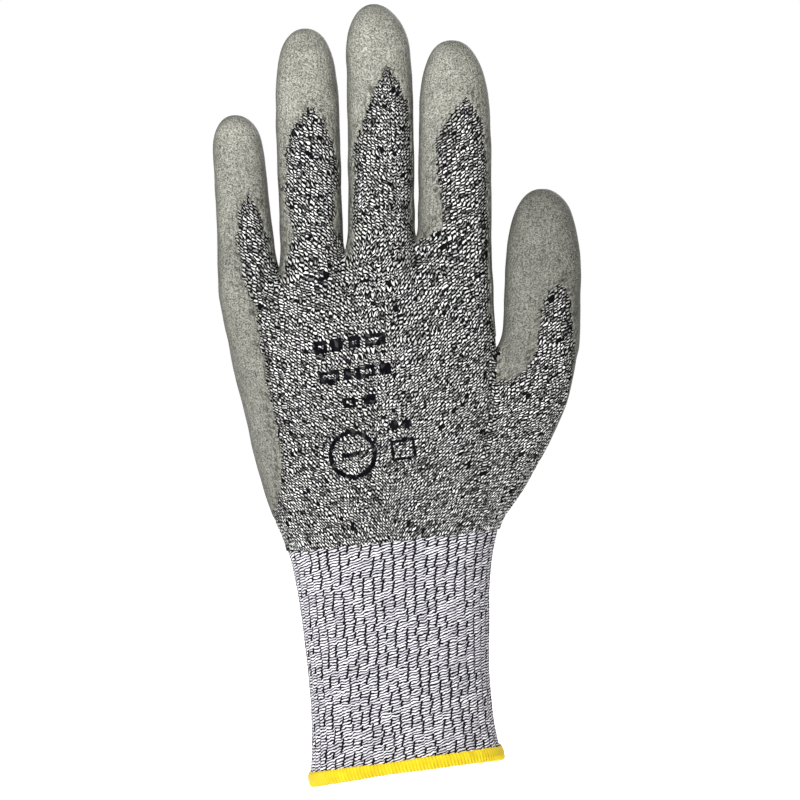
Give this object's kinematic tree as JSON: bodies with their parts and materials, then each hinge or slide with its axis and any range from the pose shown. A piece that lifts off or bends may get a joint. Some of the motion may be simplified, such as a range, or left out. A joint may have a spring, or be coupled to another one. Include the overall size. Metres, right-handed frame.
{
  "type": "cut resistant work glove",
  "caption": "Seamless knitted cut resistant glove, coated on the palm and fingertips, with a ribbed wrist cuff; its fingers, thumb and wrist fold.",
  "frame": {"origin": "centre of the wrist, inside the glove, where the hand and the cuff meet", "axes": "+Z from the cuff to the fingertips, +Y out of the palm's side, +X to the thumb's side"},
  "size_m": [0.1171, 0.0406, 0.25],
  "materials": {
    "knit": "salt-and-pepper knitted jersey",
    "rib": "ribbed knit with elastic",
    "coating": "matt polyurethane with the knit showing through",
    "hem_yarn": "overlocked thread",
    "elastic": "covered rubber thread",
    "ink": "flat printed ink"
  },
  "bodies": {
    "hand": {"hand_liner": "knit", "palm_coating": "coating", "size_print": "ink"},
    "cuff": {"cuff_rib": "rib", "cuff_elastic": "elastic", "overlock_hem": "hem_yarn", "wrist_band": "knit"},
    "little_proximal": {"little_proximal_sleeve": "knit", "little_proximal_coating": "coating", "little_root_band": "knit"},
    "little_middle": {"little_middle_sleeve": "knit", "little_middle_coating": "coating", "little_knuckle_band": "knit"},
    "little_tip": {"little_tip_sleeve": "knit", "little_tip_coating": "coating", "little_tip_band": "knit"},
    "ring_proximal": {"ring_proximal_sleeve": "knit", "ring_proximal_coating": "coating", "ring_root_band": "knit"},
    "ring_middle": {"ring_middle_sleeve": "knit", "ring_middle_coating": "coating", "ring_knuckle_band": "knit"},
    "ring_tip": {"ring_tip_sleeve": "knit", "ring_tip_coating": "coating", "ring_tip_band": "knit"},
    "middle_proximal": {"middle_proximal_sleeve": "knit", "middle_proximal_coating": "coating", "middle_root_band": "knit"},
    "middle_middle": {"middle_middle_sleeve": "knit", "middle_middle_coating": "coating", "middle_knuckle_band": "knit"},
    "middle_tip": {"middle_tip_sleeve": "knit", "middle_tip_coating": "coating", "middle_tip_band": "knit"},
    "index_proximal": {"index_proximal_sleeve": "knit", "index_proximal_coating": "coating", "index_root_band": "knit"},
    "index_middle": {"index_middle_sleeve": "knit", "index_middle_coating": "coating", "index_knuckle_band": "knit"},
    "index_tip": {"index_tip_sleeve": "knit", "index_tip_coating": "coating", "index_tip_band": "knit"},
    "thumb_proximal": {"thumb_proximal_sleeve": "knit", "thumb_proximal_coating": "coating", "thumb_root_band": "knit"},
    "thumb_tip": {"thumb_tip_sleeve": "knit", "thumb_tip_coating": "coating", "thumb_tip_band": "knit"}
  },
  "joints": [
    {"name": "wrist_fold", "type": "hinge", "parent": "hand", "child": "cuff", "pos_m": [0, 0.002, 0], "axis": [1, 0, 0], "range_deg": [-35, 35], "stiffness_Nm_per_rad": 0.06, "deforming": ["wrist_band"]},
    {"name": "little_base_fold", "type": "hinge", "parent": "hand", "child": "little_proximal", "pos_m": [-0.04678, 0.00299, 0.09063], "axis": [-0.9969, 0, -0.0787], "range_deg": [-12, 70], "stiffness_Nm_per_rad": 0.02, "deforming": ["little_root_band"]},
    {"name": "little_middle_fold", "type": "hinge", "parent": "little_proximal", "child": "little_middle", "pos_m": [-0.04784, 0.00365, 0.10409], "axis": [-0.9969, 0, -0.0787], "range_deg": [0, 80], "stiffness_Nm_per_rad": 0.012, "deforming": ["little_knuckle_band"]},
    {"name": "little_tip_fold", "type": "hinge", "parent": "little_middle", "child": "little_tip", "pos_m": [-0.04898, 0.0051, 0.11855], "axis": [-0.9969, 0, -0.0787], "range_deg": [0, 45], "stiffness_Nm_per_rad": 0.006, "deforming": ["little_tip_band"]},
    {"name": "ring_base_fold", "type": "hinge", "parent": "hand", "child": "ring_proximal", "pos_m": [-0.02579, 0.0034, 0.10064], "axis": [-0.9993, 0, -0.0365], "range_deg": [-12, 70], "stiffness_Nm_per_rad": 0.02, "deforming": ["ring_root_band"]},
    {"name": "ring_middle_fold", "type": "hinge", "parent": "ring_proximal", "child": "ring_middle", "pos_m": [-0.02647, 0.00409, 0.11913], "axis": [-0.9993, 0, -0.0365], "range_deg": [0, 80], "stiffness_Nm_per_rad": 0.012, "deforming": ["ring_knuckle_band"]},
    {"name": "ring_tip_fold", "type": "hinge", "parent": "ring_middle", "child": "ring_tip", "pos_m": [-0.0272, 0.00548, 0.13911], "axis": [-0.9993, 0, -0.0365], "range_deg": [0, 45], "stiffness_Nm_per_rad": 0.006, "deforming": ["ring_tip_band"]},
    {"name": "middle_base_fold", "type": "hinge", "parent": "hand", "child": "middle_proximal", "pos_m": [-0.00383, 0.00342, 0.10311], "axis": [-0.9998, 0, -0.0177], "range_deg": [-12, 70], "stiffness_Nm_per_rad": 0.02, "deforming": ["middle_root_band"]},
    {"name": "middle_middle_fold", "type": "hinge", "parent": "middle_proximal", "child": "middle_middle", "pos_m": [-0.0042, 0.00408, 0.12411], "axis": [-0.9998, 0, -0.0177], "range_deg": [0, 80], "stiffness_Nm_per_rad": 0.012, "deforming": ["middle_knuckle_band"]},
    {"name": "middle_tip_fold", "type": "hinge", "parent": "middle_middle", "child": "middle_tip", "pos_m": [-0.00458, 0.00549, 0.1456], "axis": [-0.9998, 0, -0.0177], "range_deg": [0, 45], "stiffness_Nm_per_rad": 0.006, "deforming": ["middle_tip_band"]},
    {"name": "index_base_fold", "type": "hinge", "parent": "hand", "child": "index_proximal", "pos_m": [0.01981, 0.00349, 0.1028], "axis": [-1, 0, -0.0075], "range_deg": [-12, 70], "stiffness_Nm_per_rad": 0.02, "deforming": ["index_root_band"]},
    {"name": "index_middle_fold", "type": "hinge", "parent": "index_proximal", "child": "index_middle", "pos_m": [0.01969, 0.00411, 0.1188], "axis": [-1, 0, -0.0075], "range_deg": [0, 80], "stiffness_Nm_per_rad": 0.012, "deforming": ["index_knuckle_band"]},
    {"name": "index_tip_fold", "type": "hinge", "parent": "index_middle", "child": "index_tip", "pos_m": [0.01955, 0.00549, 0.1368], "axis": [-1, 0, -0.0075], "range_deg": [0, 45], "stiffness_Nm_per_rad": 0.006, "deforming": ["index_tip_band"]},
    {"name": "thumb_base_fold", "type": "hinge", "parent": "hand", "child": "thumb_proximal", "pos_m": [0.04628, 0.00792, 0.06802], "axis": [-0.9844, -0.1736, 0.0297], "range_deg": [0, 35], "stiffness_Nm_per_rad": 0.02, "deforming": ["thumb_root_band"]},
    {"name": "thumb_tip_fold", "type": "hinge", "parent": "thumb_proximal", "child": "thumb_tip", "pos_m": [0.04675, 0.00868, 0.08251], "axis": [-0.9844, -0.1736, 0.0297], "range_deg": [0, 60], "stiffness_Nm_per_rad": 0.008, "deforming": ["thumb_tip_band"]}
  ]
}
